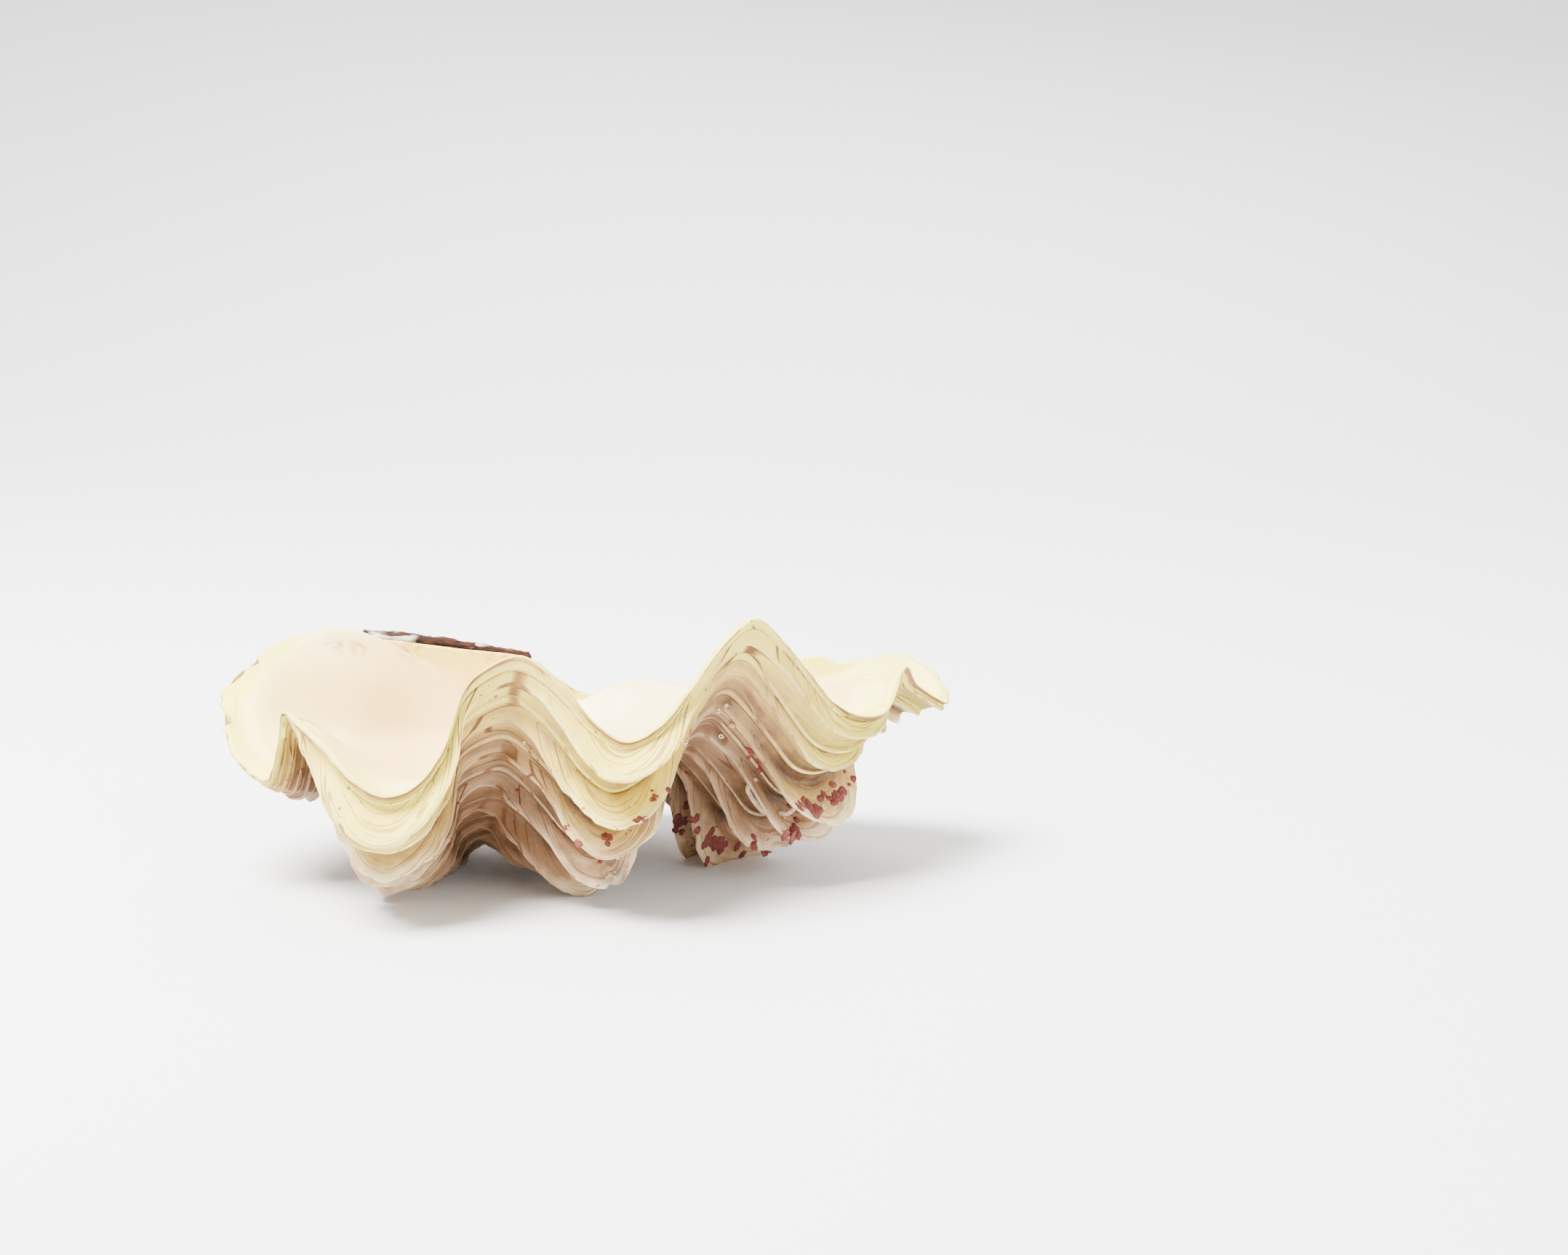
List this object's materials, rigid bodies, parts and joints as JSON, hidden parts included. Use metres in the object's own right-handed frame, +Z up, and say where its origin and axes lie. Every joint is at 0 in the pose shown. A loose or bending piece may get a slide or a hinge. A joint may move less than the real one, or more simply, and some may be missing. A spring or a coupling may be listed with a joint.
{
  "type": "giant clam shell",
  "caption": "Fluted giant clam shell half with deep ribs and flaring scales, lying hollow side up, the dried ligament still on its hinge; a natural dish or display piece.",
  "frame": {"origin": "middle of the footprint, on the plane that the lowest scales rest on", "axes": "+Z up out of the hollow, +X along the hinge towards the spout on the right, +Y from the free margin towards the hinge"},
  "size_m": [0.2242, 0.148, 0.084],
  "materials": {
    "shell": "satin",
    "ligament": "matte"
  },
  "bodies": {
    "root": {"shell": "shell", "ligament": "ligament"}
  },
  "joints": []
}
